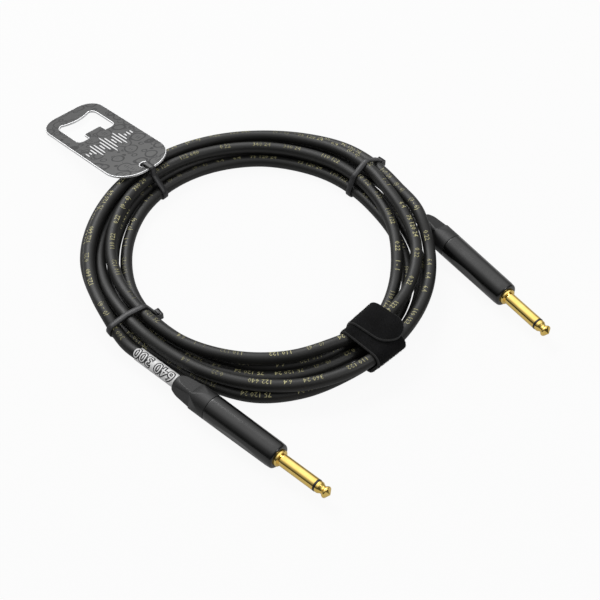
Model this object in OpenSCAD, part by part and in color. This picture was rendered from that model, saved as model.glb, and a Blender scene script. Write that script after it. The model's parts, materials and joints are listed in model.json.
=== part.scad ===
// Instrument cable: a lead wound into a flat coil, with a straight 6.35 mm plug on each end,
// three cable ties, a hook-and-loop strap and a metal tag that hangs on one of the ties.
// Millimetres. The origin is the coil's centre on the table, +Z is up, and angles run
// counter-clockwise from +X.

/* [Cable] */
// Diameter of the cable's jacket
cable_d = 6.4; // [5.8:0.1:7]
// Diameter over the insulation of the core
core_d = 2.6; // [2:0.1:2.8]
// Diameter of the bare copper conductor
conductor_d = 1; // [0.6:0.1:1.1]
// Diameter of the shield where it is twisted into a wire
pigtail_d = 1.4; // [1:0.1:1.5]

/* [Coil] */
// Radius of lane 0 of the coil, to the middle of the cable
coil_r = 73.1; // [66:0.1:84]
// Space between turns that lie side by side
lane_gap = 0.55; // [0.5:0.05:0.8]
// Space between the two layers of turns
layer_gap = 0.5; // [0.45:0.05:0.8]
// Height of the lowest turns above the table, away from the ties
table_gap = 0.2; // [0.1:0.05:0.5]

/* [Plug positions] */
// Angle at which the cable leaves the coil for plug A
exit_angle_a = 228.5; // [227:0.5:230]
// Heading of plug A, from its boot to its tip
heading_a = -41.3; // [-43:0.1:-39]
// Straight cable between the coil and the boot of plug A
tail_a = 27; // [24:0.5:32]
// Angle at which the cable leaves the coil for plug B
exit_angle_b = 36.6; // [36:0.1:37.5]
// Heading of plug B, from its boot to its tip
heading_b = -53.3; // [-55:0.1:-52]
// Straight cable behind the boot of plug B, before the cable dips under the turns
tail_b = 10; // [9.5:0.5:12]
// How far the boot of plug A is turned
boot_turn_a = 33; // [0:1:45]
// How far the boot of plug B is turned
boot_turn_b = 27; // [0:1:45]

/* [Plug] */
// Largest diameter of the boot and the shell
plug_d = 14; // [13.6:0.1:15]
// Length of the boot that shows behind the shell
boot_len = 23.3; // [20:0.1:28]
// Diameter of the boot's rear end
boot_rear_d = 9.4; // [9:0.1:10]
// Length of the boot's rear chamfer
boot_chamfer = 3.5; // [3:0.1:4]
// Diameter of the boot behind its chamfer
boot_waist_d = 11.6; // [11.2:0.1:12]
// Length of the boot's narrower rear part, up to its step
boot_neck = 12; // [11:0.1:13]
// Diameter of the boot behind its step
boot_neck_d = 13; // [12.6:0.1:13.4]
// How far the boot's flats cut in at the rear
flat_depth = 1.9; // [1.5:0.1:2]
// Cylinder left between the boot's flats and its front edge
flat_land = 3.3; // [2.5:0.1:5]
// Length of the threaded spigot, which is also the travel of the boot
spigot_len = 8; // [6:0.1:8.5]
// Diameter of the threaded spigot
spigot_d = 11.4; // [11.2:0.1:11.6]
// Length of the shell
shell_len = 43.3; // [42:0.1:50]
// Diameter of the shell at its front edge
shell_front_d = 12.9; // [12:0.1:13.4]
// Thickness of the shell's front wall
shell_wall = 4.6; // [3:0.1:6]
// Radius of the shell's front edge
shell_edge_r = 1.2; // [0.6:0.1:1.6]
// Diameter of the plug's finger, a standard size
finger_d = 6.35; // [6.25:0.01:6.45]
// Length of the finger in front of the shell, with its collar
finger_len = 31.5; // [30.5:0.1:32.5]
// Diameter of the collar at the foot of the finger
collar_d = 8.7; // [8:0.1:9.4]
// Length of the collar in front of the shell
collar_len = 1.5; // [1:0.1:2]
// Length of the tip in front of its insulating ring
tip_len = 7.6; // [7.2:0.1:8]
// Width of the insulating ring
ring_len = 1; // [0.8:0.1:1.4]
// Diameter of the rod that carries the tip
rod_d = 2.4; // [2:0.1:2.6]
// Wall of the insulating liner round the rod
liner_wall = 0.8; // [0.6:0.05:0.9]
// Length of the plastic carrier behind the finger's flange
carrier_len = 8; // [6:0.1:9]
// Length of the finger's flange inside the shell
flange_len = 4; // [3:0.1:5]

/* [Chuck] */
// Outer diameter of the chuck's fingers
chuck_d = 9.4; // [9:0.1:9.5]
// Diameter of the chuck's head
chuck_head_d = 11; // [10.4:0.1:11]
// Length of the chuck's head
chuck_head_len = 6.4; // [4:0.1:6.6]
// Width of the slits between the chuck's fingers
chuck_slit = 1; // [0.6:0.1:1.4]

/* [Label sleeve] */
// Wall of the shrunk label sleeve
label_wall = 0.32; // [0.25:0.01:0.4]
// Length of the label sleeve behind the boot
label_len = 27; // [25:0.5:27]

/* [Cable ties] */
// Width of a tie's band
tie_w = 3.2; // [2.4:0.1:4]
// Thickness of a tie's band
tie_t = 1; // [0.8:0.05:1.2]
// Play between a tie and the turns in it
tie_play = 0.1; // [0.05:0.05:0.3]
// Width of a tie's head, along the cable
tie_head_w = 5; // [4.6:0.1:6]
// Height of a tie's head
tie_head_h = 4; // [3.6:0.1:5]
// Thickness of a tie's head
tie_head_t = 2.6; // [2.2:0.1:3.4]
// Angle of the tie that carries the tag
tie_1_angle = 137.6; // [136:0.1:140]
// Angle of the second tie
tie_2_angle = 46; // [45.5:0.1:48]
// Angle of the third tie
tie_3_angle = 216; // [212:0.1:218]

/* [Strap] */
// Width of the hook-and-loop strap
strap_w = 19; // [16:0.5:20]
// Thickness of the strap
strap_t = 1.6; // [1.2:0.1:1.8]
// Play between the strap and the turns in it
strap_play = 0.3; // [0.2:0.05:0.5]
// Angle of the strap's loop
strap_angle = 313.5; // [312:0.5:315]
// How far the free tab lies turned from the loop
tab_skew = 4.5; // [3:0.5:6]
// Radius from the coil's centre to the tab's round end
tab_reach = 95; // [90:0.5:96]

/* [Tag] */
// Width of the metal tag
tag_w = 38; // [34:0.5:42]
// Length of the tag from its hole to its far end
tag_reach = 81.3; // [78:0.1:84]
// Metal between the hole's centre and the near end
tag_near = 5.5; // [5:0.1:5.8]
// Thickness of the tag
tag_t = 1.2; // [1:0.1:1.4]
// Diameter of the tag's hole
tag_hole_d = 5; // [4.8:0.1:5.4]
// Height of the hole's centre above the table
tag_hole_h = 17; // [16.9:0.1:17.6]
// Heading of the tag, from its hole to its far end
tag_heading = 130.6; // [129:0.1:132]
// Radius of the two far corners
tag_corner_r = 11; // [8:0.5:14]
// Radius of the near end's shoulders
tag_shoulder_r = 16; // [14:0.5:17]

/* [Hidden] */

A = 0;
B = 1;
$fn = 64;

// Running fits and clearances
slide_fit = 0.08;
body_gap = 0.3;
seat_gap = 0.05;
cut = 1;

// ---- Coil ----

cable_r = cable_d / 2;
lane_pitch = cable_d + lane_gap;
layer_pitch = cable_d + layer_gap;

// Where each turn lies at the twelve half hours of the clock face, from +X on: its lane,
// counted outwards from lane 0, and its layer. The turns of layer 0 spiral inwards, the
// cable climbs at the start of the fifth row, and the turns of layer 1 spiral outwards.
// The first turn crosses between them on the far left, as a hand-wound coil does.
winding = [
    [[2, 0], [2, 0], [2.1, 0], [2.4, 0], [2.4, 0], [2.15, 0],
     [1.6, 0.26], [1.07, 1], [1.15, 1], [2.1, 1], [2.8, 1], [2.65, 1]],
    [[2.35, 1.15], [1.93, 1.31], [3.07, 0.486], [3.4, 0], [3.4, 0], [3.2, 0],
     [2.7, 0], [1.6, 0], [1.25, 0], [2.4, 0], [2.3, 0], [2.18, 0]],
    [[1.67, 0], [0.975, 0], [1.1, 0], [1.4, 0], [1.4, 0], [1.11, 0],
     [0.629, 0], [0.38, 0], [0.2, 0], [0.75, 0], [1.07, 0], [1.17, 0]],
    [[0.64, 0], [-0.03, 0], [0.1, 0], [0.4, 0], [0.4, 0], [0.1, 0],
     [-0.37, 0], [-0.62, 0], [-0.83, 0], [-0.28, 0], [0.05, 0], [0.15, 0]],
    [[-0.1, 0.95], [0.2, 1], [0.65, 1], [0.95, 1], [1.2, 1], [1.2, 1],
     [0.681, 1], [-0.05, 1], [-0.25, 1], [-0.2, 1], [0.1, 1], [1, 1]],
    [[1.33, 1.55], [0.88, 1.95], [2.08, 1.1], [2.3, 1], [2.4, 1],
     [2.4, 1], [2.33, 1], [2.15, 1], [2.2, 0.5]]
];
stations = [for (turn = winding) for (station = turn) station];
station_step = 30;
ring_step = 15;
first_ring = 45;
last_ring = 2010;
turns = len(winding);

// The second turn hops over the boot of plug B: its angle, its height in layers, its reach
boot_hop = [377, 0.802, 20];

// Where bands pass under the turns: the angle, the rise, and the reach of the rise
tie_rise = tie_t + tie_play - table_gap;
strap_rise = strap_t + strap_play - table_gap;
rises = [[tie_2_angle, tie_rise, 25], [tie_1_angle, tie_rise, 25], [tie_3_angle, tie_rise, 25],
    [strap_angle + tab_skew / 2, strap_rise, 30]];
rise_flat = 10;

function turned(angle) = abs((angle + 540) % 360 - 180);
function rise(angle) = max([for (band = rises)
    band[1] * max(0, min(1, (band[2] - turned(angle - band[0])) / (band[2] - rise_flat)))]);
function hop(angle) = abs(angle - boot_hop[0]) < boot_hop[2]
    ? boot_hop[1] * (0.5 + 0.5 * cos(180 * (angle - boot_hop[0]) / boot_hop[2])) : 0;

function station(i) = stations[max(0, min(len(stations) - 1, i))];
function smooth(a, b, c, d, t) =
    0.5 * (2 * b + (c - a) * t + (2 * a - 5 * b + 4 * c - d) * t * t
    + (3 * b - a - 3 * c + d) * t * t * t);
function wound(angle) = let (i = floor(angle / station_step))
    smooth(station(i - 1), station(i), station(i + 1), station(i + 2), angle / station_step - i);
function lane_r(lane) = coil_r + lane_pitch * lane;
function low_z(angle) = table_gap + cable_r + rise(angle);
function coil_point(angle) = let (place = wound(angle), r = lane_r(place[0]))
    [r * cos(angle), r * sin(angle),
     low_z(angle % 360) + layer_pitch * (max(0, place[1]) + hop(angle))];

// ---- Places of the plugs ----

plug_h = plug_d / 2;
heading = [heading_a, heading_b];
straight = [tail_a, tail_b];

// Plug B's cable behind the straight stretch: back from the boot, sideways, and up from the table
dip_b = [[16, 0.2, 6.5], [22, 0.9, 5.4], [27, 1.6, 4.6], [32, 1.9, 4.2]];
dips = [[], dip_b];

// The point where the cable meets the coil, in the plug's own frame
function local_end(side) = side == A ? [-tail_a, 0, plug_h]
    : let (p = dip_b[len(dip_b) - 1]) [-p[0], p[1], p[2]];
exit_lane = [2.2, 2.1];
exit_angle = [exit_angle_a, exit_angle_b];
function ahead(side) = [cos(heading[side]), sin(heading[side]), 0];
function aside(side) = [-sin(heading[side]), cos(heading[side]), 0];
function coil_end(side) = let (r = lane_r(exit_lane[side]))
    [r * cos(exit_angle[side]), r * sin(exit_angle[side]), local_end(side)[2]];
function boot_rear(side) = let (p = coil_end(side)
    - ahead(side) * local_end(side)[0] - aside(side) * local_end(side)[1])
    [p[0], p[1], 0];
function placed(side, p) = boot_rear(side) + ahead(side) * p[0] + aside(side) * p[1] + [0, 0, p[2]];

module at_plug(side) {
    translate(boot_rear(side)) rotate([0, 0, heading[side]]) children();
}

module on_axis(side) {
    at_plug(side) translate([0, 0, plug_h]) children();
}

// ---- The cable's path ----

coil_path = concat(
    [coil_end(B), coil_end(B) - cable_d * ahead(B)],
    [for (angle = [first_ring : ring_step : last_ring]) coil_point(angle)],
    [coil_end(A) - cable_d * ahead(A), coil_end(A)]);
last_index = len(coil_path) - 1;

function unit(v) = v / norm(v);
function tangent(path, i) = i == 0 ? unit(path[1] - path[0])
    : i == len(path) - 1 ? unit(path[i] - path[i - 1])
    : unit(unit(path[i + 1] - path[i]) + unit(path[i] - path[i - 1]));
function ring(path, i, r, sides) = let (t = tangent(path, i),
        across = unit(cross([0, 0, 1], t)), over = cross(t, across))
    [for (k = [0 : sides - 1]) path[i]
        + r * (across * cos(360 * k / sides) + over * sin(360 * k / sides))];

module tube(path, r, sides) {
    rings = len(path);
    points = [for (i = [0 : rings - 1]) each ring(path, i, r, sides)];
    walls = [for (i = [0 : rings - 2]) for (k = [0 : sides - 1])
        let (a = i * sides + k, b = i * sides + (k + 1) % sides)
        each [[a, a + sides, b], [b, a + sides, b + sides]]];
    caps = [for (k = [1 : sides - 2])
        each [[0, k, k + 1], [(rings - 1) * sides, (rings - 1) * sides + k + 1,
            (rings - 1) * sides + k]]];
    polyhedron(points, concat(walls, caps));
}

// Least gap between turns, measured from each ring to each stretch half a turn or more away
function to_stretch(p, a, b) = let (t = max(0, min(1, ((p - a) * (b - a)) / ((b - a) * (b - a)))))
    norm(p - a - t * (b - a));
half_turn = 180 / ring_step;
least_gap = min([for (i = [0 : last_index - half_turn]) for (j = [i + half_turn : last_index - 1])
    min(to_stretch(coil_path[i], coil_path[j], coil_path[j + 1]),
        to_stretch(coil_path[j], coil_path[i], coil_path[i + 1]))]) - cable_d;
function run_length(path) = [for (i = [1 : len(path) - 1]) norm(path[i] - path[i - 1])]
    * [for (i = [1 : len(path) - 1]) 1];
echo(str("coil: least gap between turns ", least_gap, " mm, cable in the coil ",
    run_length(coil_path), " mm"));

// ---- Bands round the turns ----

// The turns that cross the upright plane at an angle, as [radius, height]
function crossing(angle) = let (i = 2 + floor((angle - first_ring) / ring_step),
        p = coil_path[i], q = coil_path[i + 1], n = [-sin(angle), cos(angle), 0],
        c = p - (q - p) * (p * n) / ((q - p) * n))
    [norm([c[0], c[1]]), c[2]];
function crossings(angle) = [for (turn = [0 : turns - 1]) let (a = angle + 360 * turn)
    if (a >= first_ring && a < last_ring + ring_step) crossing(a)];

module bundle(points) {
    hull() for (p = points) translate(p) circle(r = cable_r, $fn = 32);
}

module upright(angle, width) {
    rotate([0, 0, angle]) rotate([90, 0, 0]) linear_extrude(width, center = true) children();
}

// ---- Lathe work for the plugs: outlines are [radius, distance from the boot's rear end] ----

module lathe(outline) {
    rotate([0, 90, 0]) rotate_extrude() polygon(outline);
}

module bar(d, x0, x1) {
    translate([x0, 0, 0]) rotate([0, 90, 0]) cylinder(d = d, h = x1 - x0);
}

shell_end = boot_len + shell_len;
collar_x = shell_end + collar_len;
tip_x = shell_end + finger_len;
ring_x = tip_x - tip_len - ring_len;
spigot_x = boot_len + spigot_len;
flange_x = shell_end - shell_wall - flange_len;
carrier_x = flange_x - carrier_len;

// Places along a plug, from the boot's rear end
joint_gap = 0.15;
shell_x = boot_len + joint_gap;
chuck_setback = 1.2;
chuck_x = boot_neck + chuck_setback;
chuck_head_x = spigot_x + body_gap;
label_front = 4;

// The cable's stripped end behind the carrier: a gap, the bare conductor, and the core
strip_gap = 3;
bare_len = 3.5;
core_len = 6.5;
conductor_end = carrier_x - strip_gap;
core_end = conductor_end - bare_len;
jacket_end = core_end - core_len;

// The ground lug, and where the shield lies on it: its bend, its solder and its cut end
lug_gap = 1.8;
lug_x = chuck_head_x + chuck_head_len + lug_gap;
landing = [for (x = [2.7, 3.8, 5.2]) lug_x + x];

// Radii inside a plug
plug_r = plug_d / 2;
shell_bore_r = spigot_d / 2 + slide_fit;
flange_r = shell_bore_r - seat_gap;
rod_r = rod_d / 2;
liner_r = rod_r + seat_gap + liner_wall;
finger_r = finger_d / 2;
collar_r = collar_d / 2;
label_r = cable_r + 0.03 + label_wall;
boot_bore_r = label_r + 0.25;
chuck_space_r = chuck_d / 2 + body_gap;
carrier_wall = 2;

// ---- Cable ----

function route(side) = [for (p = concat([[straight[side], 0, plug_h]], dips[side]))
    placed(side, [-p[0], p[1], p[2]])];
function first_points(path, count) = [for (i = [0 : count - 1]) path[i]];
// The route under the label sleeve, and the same with a little more at its end
label_points = len([for (p = dip_b) if (p[0] <= label_len) p]) + 1;
function longer(path) = concat(path,
    [path[len(path) - 1] + cut * unit(path[len(path) - 1] - path[len(path) - 2])]);

module cable_coil() {
    color("#2c2d2e") tube(coil_path, cable_r, 6);
}

module cable_tail(side) {
    color("#2c2d2e") {
        on_axis(side) bar(cable_d, -straight[side], jacket_end);
        if (len(dips[side]) > 0) tube(route(side), cable_r, 12);
    }
}

module label_sleeve(side) {
    dipped = len(dips[side]) > 0;
    back = dipped ? straight[side] : min(label_len, straight[side]);
    path = first_points(route(side), dipped ? label_points : 1);
    color("#f2f2ee") difference() {
        union() {
            on_axis(side) bar(2 * label_r, -back, label_front);
            if (dipped) tube(path, label_r, 12);
        }
        on_axis(side) bar(2 * (cable_r + 0.03), -back - (dipped ? 0 : cut), label_front + cut);
        if (dipped) tube(longer(path), cable_r + 0.03, 12);
    }
}

module core_insulation(side) {
    color("#e9e2d0") on_axis(side) bar(core_d, jacket_end, core_end);
}

module core_conductor(side) {
    color("#c47a4a") on_axis(side) bar(conductor_d, core_end, conductor_end);
}

// The shield, twisted and bent down to the ground lug
pigtail_r = pigtail_d / 2;
pigtail_z = core_d / 2 + seat_gap + pigtail_r;
lug_top = 3.9;
pigtail_path = [[jacket_end, pigtail_z], [jacket_end + 1.5, pigtail_z],
    [landing[0], lug_top - seat_gap - pigtail_r],
    [landing[2], lug_top - seat_gap - pigtail_r]];

module shield_pigtail(side) {
    color("#b9825a") tube([for (p = pigtail_path) placed(side, [p[0], 0, plug_h - p[1]])],
        pigtail_r, 10);
}

// ---- Plug contacts ----

// The tip's outline: radius, and share of its length
tip_outline = [[3, 0], [3, 0.21], [2.1, 0.42], [2.2, 0.46], [2.8, 0.58], [3.05, 0.63],
    [3.1, 0.67], [3, 0.71], [0.45, 0.965], [0.2, 0.995], [0, 1]];

module tip_contact(side) {
    head_x = ring_x + ring_len;
    color("#d8b264") on_axis(side) lathe(concat(
        [[0, rod_start], [rod_r, rod_start], [rod_r, head_x]],
        [for (p = tip_outline) [p[0], head_x + p[1] * tip_len]]));
}

module tip_ring(side) {
    color("#1b1b1b") on_axis(side) lathe([[rod_r + seat_gap, ring_x], [finger_r, ring_x],
        [finger_r, ring_x + ring_len], [rod_r + seat_gap, ring_x + ring_len]]);
}

module finger_sleeve(side) {
    bore = liner_r + seat_gap;
    bevel = 0.3;
    color("#d8b264") on_axis(side) lathe([[bore, flange_x], [flange_r, flange_x],
        [flange_r, flange_x + flange_len], [collar_r, flange_x + flange_len],
        [collar_r, collar_x - bevel], [collar_r - bevel, collar_x], [finger_r, collar_x],
        [finger_r, ring_x], [bore, ring_x]]);
}

module rod_liner(side) {
    color("#e6e0cf") on_axis(side) lathe([[rod_r + seat_gap, carrier_x + carrier_wall],
        [liner_r, carrier_x + carrier_wall], [liner_r, ring_x], [rod_r + seat_gap, ring_x]]);
}

// Ground lug: a strip from the flange to the shield, with two ears that fold over the pigtail
lug_w = 4;
lug_t = 0.5;
lug_ear = 1;

module lug_strip(play) {
    translate([lug_x, -lug_w / 2 - play, -lug_top - lug_t - play])
        cube([flange_x - lug_x, lug_w + 2 * play, lug_t + 2 * play]);
}

module ground_lug(side) {
    color("#c9c2b0") on_axis(side) {
        lug_strip(0);
        for (y = [-lug_w / 2, lug_w / 2 - lug_t])
            translate([lug_x, y, -lug_top - lug_t]) cube([3.5, lug_t, lug_t + lug_ear]);
    }
}

module contact_carrier(side) {
    color("#202224") on_axis(side) difference() {
        lathe([[rod_r + seat_gap, carrier_x], [flange_r, carrier_x], [flange_r, flange_x],
            [liner_r + seat_gap, flange_x], [liner_r + seat_gap, carrier_x + carrier_wall],
            [rod_r + seat_gap, carrier_x + carrier_wall]]);
        lug_strip(seat_gap);
    }
}

// Tip terminal: a washer riveted on the rod, with a tab over the conductor
rod_start = carrier_x - 0.8;
tab_z = 1.3;
tab_t = 0.6;
tab_w = 2.4;
tab_lap = 2.5;
washer_t = 0.6;

module tab_shape() {
    translate([conductor_end - tab_lap, -tab_w / 2, tab_z])
        cube([carrier_x - conductor_end + tab_lap, tab_w, tab_t]);
}

module tip_terminal(side) {
    color("#c9c2b0") on_axis(side) {
        tab_shape();
        lathe([[rod_r + seat_gap, carrier_x - washer_t], [2 * rod_r, carrier_x - washer_t],
            [2 * rod_r, carrier_x], [rod_r + seat_gap, carrier_x]]);
    }
}

module solder(side) {
    color("#b8babd") on_axis(side) {
        difference() {
            translate([conductor_end - 1, 0, tab_z - 0.7]) sphere(r = 1.15, $fn = 32);
            bar(conductor_d, core_end, conductor_end);
            tab_shape();
        }
        difference() {
            translate([landing[1], 0, -lug_top + 0.65]) sphere(r = 1.1, $fn = 32);
            lug_strip(0);
            translate([0, 0, seat_gap + pigtail_r - lug_top])
                bar(pigtail_d, landing[0] - 0.5, landing[2]);
        }
    }
}

// ---- Plug casing ----

module shell(side) {
    front_r = shell_front_d / 2;
    bevel = 0.3;
    hole_r = collar_r + seat_gap;
    wall_x = shell_end - shell_wall;
    color("#1f2022") on_axis(side) lathe(concat(
        [[shell_bore_r, shell_x], [plug_r - bevel, shell_x], [plug_r, shell_x + bevel]],
        [for (a = [0 : 15 : 90]) [front_r - shell_edge_r * (1 - cos(a)),
            shell_end - shell_edge_r * (1 - sin(a))]],
        [[hole_r, shell_end], [hole_r, wall_x], [shell_bore_r, wall_x]]));
}

// Chuck: a slit collet on the cable, with a head that the spigot pushes and pulls
module chuck(side) {
    r = chuck_d / 2;
    bore_r = cable_r + slide_fit;
    cone = 3.8;
    head_end = chuck_head_x + chuck_head_len;
    color("#3a3b3e") on_axis(side) difference() {
        lathe([[bore_r, chuck_x], [r - 1, chuck_x], [r, chuck_x + cone], [r, chuck_head_x],
            [chuck_head_d / 2, chuck_head_x], [chuck_head_d / 2, head_end], [bore_r, head_end]]);
        for (a = [0, 90]) rotate([a, 0, 0])
            translate([chuck_x - cut, -chuck_slit / 2, -plug_r])
            cube([chuck_head_x - chuck_x - 4, chuck_slit, plug_d]);
    }
}

// Boot: four flats, parallel at the rear, that fade out before the joint; a threaded
// spigot; a bore that clears the label sleeve and widens to a cone that squeezes the chuck
boot_turned = [boot_turn_a, boot_turn_b];

module boot_flat() {
    flat_end = boot_len - flat_land;
    translate([0, plug_r, 0]) rotate([90, 0, 0]) linear_extrude(plug_d)
        polygon([[-cut, plug_r - flat_depth], [boot_neck, plug_r - flat_depth],
            [flat_end, plug_r], [flat_end, plug_r + cut], [-cut, plug_r + cut]]);
}

module boot(side) {
    bevel = 0.3;
    step = 0.4;
    color("#36373a") on_axis(side) difference() {
        lathe([[boot_bore_r, 0], [boot_rear_d / 2 - bevel, 0], [boot_rear_d / 2, bevel],
            [boot_waist_d / 2, boot_chamfer], [boot_neck_d / 2, boot_neck],
            [plug_r, boot_neck + step], [plug_r, boot_len - bevel],
            [plug_r - bevel, boot_len], [spigot_d / 2, boot_len],
            [spigot_d / 2, spigot_x - bevel], [spigot_d / 2 - bevel, spigot_x],
            [chuck_space_r, spigot_x], [chuck_space_r, chuck_x + 3.3],
            [boot_bore_r, chuck_x - 0.7]]);
        for (a = [45 : 90 : 315]) rotate([a + boot_turned[side], 0, 0]) boot_flat();
    }
}

// ---- Cable ties ----

// A tie's head stands against the outermost or the innermost turn, from its underside up,
// with the cut end of the band above it
module tie_head(angle, outside) {
    turns_here = crossings(angle);
    radii = [for (p = turns_here) p[0]];
    side = outside ? max(radii) : min(radii);
    z = [for (p = turns_here) if (p[0] == side) p[1]][0] - cable_r;
    face = outside ? side + cable_r + tie_play : side - cable_r - tie_play;
    depth = tie_t + tie_head_t;
    upright(angle, tie_head_w) translate([outside ? face : face - depth, z])
        square([depth, tie_head_h]);
    upright(angle, tie_w) translate([outside ? face + tie_t : face - 2 * tie_t, z + tie_head_h - cut])
        square([tie_t, cut + 0.8]);
}

module tie(angle, outside) {
    upright(angle, tie_w) difference() {
        offset(r = tie_play + tie_t) children();
        offset(r = tie_play) children();
    }
    tie_head(angle, outside);
}

// ---- Tag ----

tag_hole_r = lane_r(1.957);
tag_arm = sqrt(tag_reach * tag_reach + tag_t * tag_t / 4);
tag_tilt = asin(tag_hole_h / tag_arm) - atan(tag_t / 2 / tag_reach);
tag_rim_z = tag_hole_h + tag_near * sin(tag_tilt) + tag_t / 2;

// The first tie arches over the tag's rim and comes down through its hole
module rim_arch() {
    inner = tag_hole_r - tag_near - 1.2;
    outer = tag_hole_r - tie_t / 2 - tie_play - 0.6;
    corner = 0.5;
    translate([inner, low_z(tie_1_angle)])
        square([outer - inner, tag_rim_z + body_gap - corner - low_z(tie_1_angle)]);
    translate([inner + corner, low_z(tie_1_angle)])
        square([outer - inner - 2 * corner, tag_rim_z + body_gap - low_z(tie_1_angle)]);
    for (x = [inner + corner, outer - corner])
        translate([x, tag_rim_z + body_gap - corner]) circle(r = corner, $fn = 24);
}

module tie_1() {
    color("#141414") tie(tie_1_angle, true) {
        bundle(crossings(tie_1_angle));
        rim_arch();
    }
}

module tie_2() {
    color("#141414") tie(tie_2_angle, true) bundle(crossings(tie_2_angle));
}

module tie_3() {
    color("#141414") tie(tie_3_angle, false) bundle(crossings(tie_3_angle));
}

// The tag's outline and its opener window run along +X from the hole
module tag_outline() {
    half = tag_w / 2;
    near_x = tag_shoulder_r - tag_near;
    near_y = half - tag_shoulder_r;
    far_x = tag_reach - tag_corner_r;
    far_y = half - tag_corner_r;
    for (y = [-near_y, near_y]) translate([near_x, y]) circle(r = tag_shoulder_r);
    translate([-tag_near, -near_y]) square([near_x + tag_near, 2 * near_y]);
    translate([near_x, -half]) square([far_x - near_x, tag_w]);
    for (y = [-far_y, far_y]) translate([far_x, y]) circle(r = tag_corner_r);
    translate([far_x, -far_y]) square([tag_corner_r, 2 * far_y]);
}

window_near = 34.2;
window_far = 9.8;
window_half = 12.4;

module tag_window() {
    x0 = tag_reach - window_near;
    x1 = tag_reach - window_far;
    pocket_r = 3.2;
    lobe_r = 4;
    lip_half = 5.7;
    lip_x = x0 + 5.7;
    lip_r = 1.2;
    bulge_r = 20;
    difference() {
        union() {
            polygon([[x0, pocket_r - window_half], [x0 + pocket_r, -window_half],
                [x1 - lobe_r, -window_half], [x1, lobe_r - window_half],
                [x1, window_half - lobe_r], [x1 - lobe_r, window_half],
                [x0 + pocket_r, window_half], [x0, window_half - pocket_r]]);
            for (side = [-1, 1]) {
                translate([x0 + pocket_r, side * (window_half - pocket_r)]) circle(r = pocket_r);
                translate([x1 - lobe_r, side * (window_half - lobe_r)]) circle(r = lobe_r);
            }
        }
        translate([x0 - cut, -lip_half]) square([lip_x - lip_r - x0 + cut, 2 * lip_half]);
        translate([x0 - cut, lip_r - lip_half])
            square([lip_x - x0 + cut, 2 * (lip_half - lip_r)]);
        for (y = [lip_r - lip_half, lip_half - lip_r])
            translate([lip_x - lip_r, y]) circle(r = lip_r, $fn = 32);
        translate([x1 - 2.5 + bulge_r, 0]) circle(r = bulge_r);
    }
}

module tag() {
    color("#8d9093")
        translate([tag_hole_r * cos(tie_1_angle), tag_hole_r * sin(tie_1_angle), tag_hole_h])
        rotate([0, 0, tag_heading]) rotate([0, tag_tilt, 0])
        translate([0, 0, -tag_t / 2]) linear_extrude(tag_t) difference() {
            tag_outline();
            circle(d = tag_hole_d);
            tag_window();
        }
}

// ---- Strap ----

tab_angle = strap_angle + tab_skew;
strap_tab_w = strap_w - 1;
strap_reach = 7;
strap_turns = [for (a = [strap_angle - strap_reach : strap_reach / 2 : tab_angle + strap_reach])
    each crossings(a)];
strap_top = [for (p = strap_turns)
    if (p[1] > low_z(strap_angle) + layer_pitch / 2) p];
hinge_r = min([for (p = strap_top) p[0]]);
hinge_z = max([for (p = strap_top) p[1]]) + cable_r + strap_play + 2 * strap_t + body_gap;
echo(str("strap hinge: radius ", hinge_r, " mm, height ", hinge_z, " mm, angle ", tab_angle));
echo(str("tag: hole radius ", tag_hole_r, " mm, tilt ", tag_tilt, " degrees"));
for (side = [A, B]) echo(str("plug ", side, ": boot's rear end at ", boot_rear(side)));

module strap_layer(inner) {
    difference() {
        offset(r = inner + strap_t) bundle(strap_turns);
        offset(r = inner) bundle(strap_turns);
    }
}

// The loop, and on its inner side the start of the second layer, up to the peeling edge
module strap_band() {
    second = strap_play + strap_t + seat_gap;
    color("#0d0d0e") {
        upright(strap_angle, strap_w) strap_layer(strap_play);
        upright(tab_angle, strap_tab_w) intersection() {
            strap_layer(second);
            translate([coil_r / 2, cable_r]) square([hinge_r - body_gap - coil_r / 2, hinge_z]);
        }
    }
}

// The free tab, over the top of the loop to its round end
module strap_tab() {
    lap = strap_play + strap_t + body_gap;
    color("#0d0d0e") intersection() {
        upright(tab_angle, strap_tab_w) intersection() {
            strap_layer(lap);
            translate([hinge_r, hinge_z / 2]) square([coil_r, hinge_z]);
        }
        rotate([0, 0, tab_angle]) linear_extrude(2 * hinge_z) {
            translate([tab_reach - strap_tab_w / 2, 0]) circle(d = strap_tab_w);
            translate([coil_r / 2, -strap_tab_w / 2])
                square([tab_reach - strap_tab_w / 2 - coil_r / 2, strap_tab_w]);
        }
    }
}

cable_coil();
cable_tail(A);  // cable_tail_a
cable_tail(B);  // cable_tail_b
tie_1();
tie_2();
tie_3();
strap_band();
strap_tab();
tag();
tip_contact(A);  // tip_contact_a
tip_ring(A);  // tip_ring_a
finger_sleeve(A);  // finger_sleeve_a
rod_liner(A);  // rod_liner_a
contact_carrier(A);  // contact_carrier_a
tip_terminal(A);  // tip_terminal_a
ground_lug(A);  // ground_lug_a
shell(A);  // shell_a
chuck(A);  // chuck_a
boot(A);  // boot_a
core_insulation(A);  // core_insulation_a
core_conductor(A);  // core_conductor_a
shield_pigtail(A);  // shield_pigtail_a
solder(A);  // solder_a
label_sleeve(A);  // label_sleeve_a
tip_contact(B);  // tip_contact_b
tip_ring(B);  // tip_ring_b
finger_sleeve(B);  // finger_sleeve_b
rod_liner(B);  // rod_liner_b
contact_carrier(B);  // contact_carrier_b
tip_terminal(B);  // tip_terminal_b
ground_lug(B);  // ground_lug_b
shell(B);  // shell_b
chuck(B);  // chuck_b
boot(B);  // boot_b
core_insulation(B);  // core_insulation_b
core_conductor(B);  // core_conductor_b
shield_pigtail(B);  // shield_pigtail_b
solder(B);  // solder_b
label_sleeve(B);  // label_sleeve_b
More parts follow.
